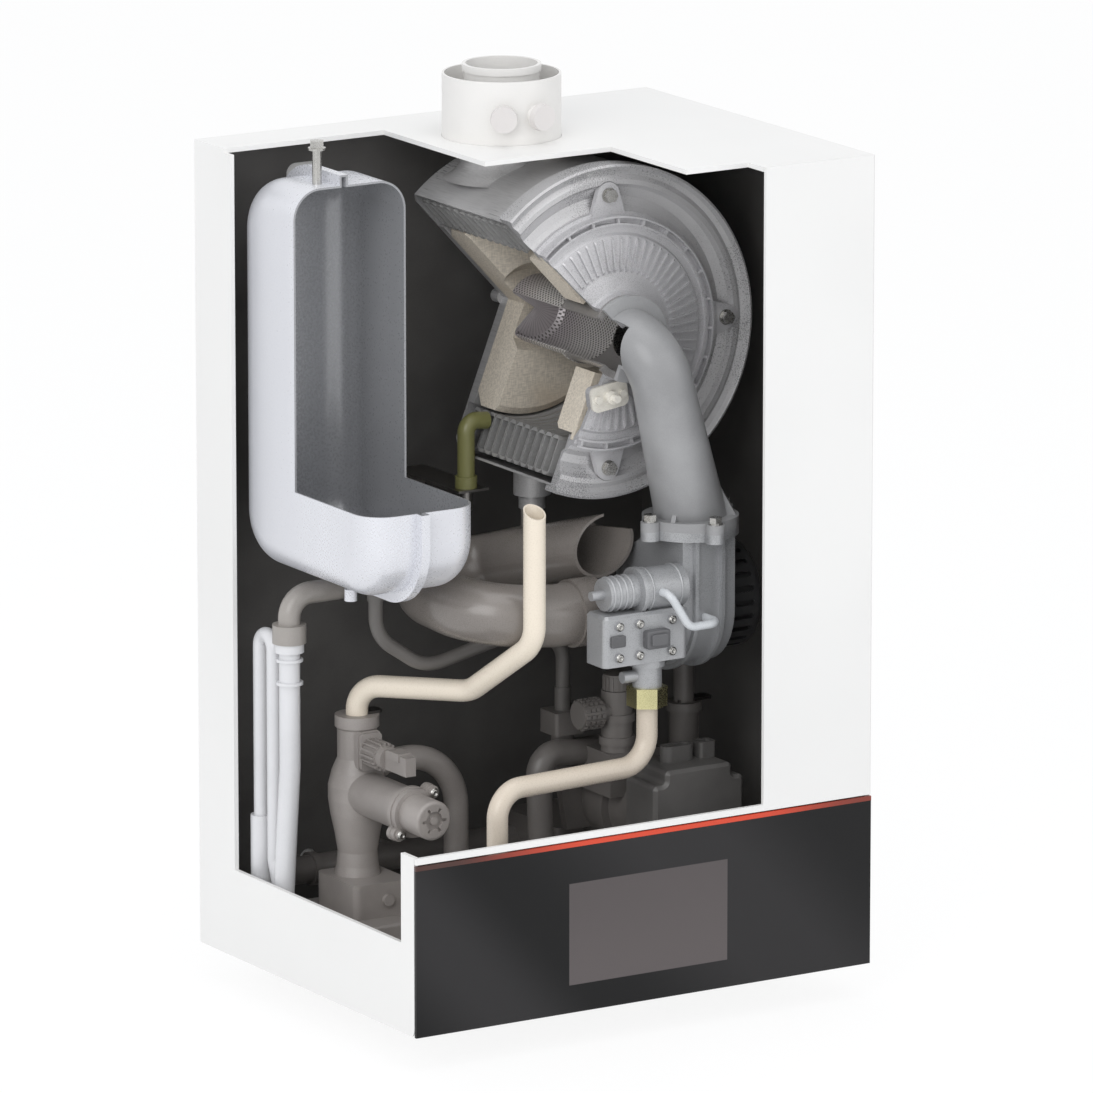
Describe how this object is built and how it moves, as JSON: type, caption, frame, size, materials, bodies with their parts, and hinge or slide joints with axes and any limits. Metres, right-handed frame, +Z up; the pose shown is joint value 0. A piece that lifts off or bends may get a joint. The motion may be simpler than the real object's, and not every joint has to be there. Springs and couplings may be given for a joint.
{
  "type": "gas boiler",
  "caption": "Wall-hung condensing gas boiler shown cut away, with open left side and front, heat exchanger, burner, fan, gas valve, vessel, pump, diverter and a fold-down control unit.",
  "frame": {"origin": "middle of the lower edge of the rear face that meets the wall", "axes": "+Z up, -Y towards the user in front, +X to the user's right"},
  "size_m": [0.45, 0.36, 0.788],
  "materials": {
    "case_white": "white powder coat",
    "interior_grey": "dark grey foam-backed liner",
    "control_black": "black glass",
    "housing_grey": "matt moulded",
    "board_green": "solder resist",
    "display_grey": "unlit screen",
    "light_orange": "translucent strip",
    "flue_white": "moulded",
    "cap_white": "moulded",
    "stainless": "pickled stainless",
    "coil_steel": "ground section faces",
    "insulation": "pressed fibre",
    "casting": "die cast, blasted",
    "burner_mesh": "perforated sheet",
    "duct_grey": "glass-filled nylon",
    "flap_steel": "bright",
    "bolt_zinc": "zinc plated",
    "motor_black": "moulded",
    "brass_nut": "turned, pale",
    "gas_copper": "pale lacquered copper",
    "flow_copper": "pale lacquered copper",
    "intake_grey": "blow moulded",
    "hose_grey": "smooth",
    "hose_clear": "silicone",
    "vessel_silver": "silver enamel",
    "hydraulic_grey": "glass-filled nylon",
    "hydraulic_dark": "glass-filled nylon",
    "spindle_steel": "ground",
    "olive_elbow": "olive passivated",
    "drain_grey": "moulded",
    "hose_white": "translucent polypropylene",
    "stub_brass": "turned",
    "ceramic_white": "glazed"
  },
  "bodies": {
    "case": {"back_plate": "case_white", "sound_mats": "interior_grey", "left_side_panel": "case_white", "right_side_panel": "case_white", "top_panel": "case_white", "bottom_plate": "case_white", "front_panel": "case_white", "flue_outer_pipe": "flue_white", "flue_inner_pipe": "flue_white", "hx_jacket": "stainless", "hx_coil": "coil_steel", "rear_insulation": "insulation", "hx_rear_plate": "stainless", "front_dish": "stainless", "burner_door": "casting", "front_insulation": "insulation", "ignition_electrode": "ceramic_white", "burner_cylinder": "burner_mesh", "burner_tube": "burner_mesh", "flap_frame": "casting", "mixing_duct": "duct_grey", "flange_bolts": "bolt_zinc", "fan_scroll": "casting", "fan_motor": "motor_black", "gas_valve": "casting", "union_nut": "brass_nut", "gas_pipe": "gas_copper", "sensing_hose": "hose_clear", "intake_pipe": "intake_grey", "vessel_left_shell": "vessel_silver", "vessel_right_shell": "vessel_silver", "vessel_bolt": "bolt_zinc", "vessel_hose": "hose_grey", "flow_pipe": "flow_copper", "diverter_body": "hydraulic_grey", "diverter_motor": "hydraulic_grey", "flow_sensor": "hydraulic_grey", "coil_elbow": "olive_elbow", "coil_elbow_bracket": "stainless", "drain_elbow": "drain_grey", "drain_hoses": "hose_white", "pump_body": "hydraulic_dark", "pump_controller": "hydraulic_dark", "retaining_clips": "flap_steel", "connection_stubs": "stub_brass", "drip_tray": "hydraulic_grey", "arch_pipe": "hydraulic_grey"},
    "control_unit": {"control_housing": "housing_grey", "control_glass": "control_black", "display_module": "display_grey", "light_strip": "light_orange", "control_board": "board_green"},
    "fan_rotor": {"fan_impeller": "casting"},
    "pump_wheel": {"pump_rotor": "spindle_steel"},
    "flue_gas_cap": {"flue_gas_test_cap": "cap_white"},
    "supply_air_cap": {"supply_air_test_cap": "cap_white"},
    "flap": {"flap_disc": "flap_steel"},
    "spindle": {"diverter_spindle": "spindle_steel"},
    "vent_cap": {"air_vent_cap": "hydraulic_dark"},
    "knob": {"relief_knob": "hydraulic_dark"}
  },
  "joints": [
    {"name": "control_unit_hinge", "type": "hinge", "parent": "case", "child": "control_unit", "pos_m": [0, -0.348, 0.007], "axis": [1, 0, 0], "range_deg": [0, 90]},
    {"name": "fan_spin", "type": "hinge", "parent": "case", "child": "fan_rotor", "pos_m": [0.1, -0.24, 0.31], "axis": [1, 0, 0], "range_deg": [-180, 180]},
    {"name": "pump_spin", "type": "hinge", "parent": "case", "child": "pump_wheel", "pos_m": [0.097, -0.16, 0.126], "axis": [0, 1, 0], "range_deg": [-180, 180]},
    {"name": "flue_gas_cap_pull", "type": "slide", "parent": "case", "child": "flue_gas_cap", "axis": [-0.4924, -0.8704, 0], "range_m": [0, 0.012]},
    {"name": "supply_air_cap_pull", "type": "slide", "parent": "case", "child": "supply_air_cap", "axis": [0.0785, -0.9969, 0], "range_m": [0, 0.012]},
    {"name": "flap_swing", "type": "hinge", "parent": "case", "child": "flap", "pos_m": [0.042, -0.2652, 0.5645], "axis": [1, 0, 0], "range_deg": [0, 35]},
    {"name": "spindle_stroke", "type": "slide", "parent": "case", "child": "spindle", "axis": [0, -1, 0], "range_m": [0, 0.006]},
    {"name": "vent_cap_turn", "type": "hinge", "parent": "case", "child": "vent_cap", "pos_m": [0.061, -0.215, 0.238], "axis": [0, 0, 1], "range_deg": [0, 270]},
    {"name": "relief_knob_turn", "type": "hinge", "parent": "case", "child": "knob", "pos_m": [0.033, -0.215, 0.213], "axis": [1, 0, 0], "range_deg": [0, 90]}
  ]
}
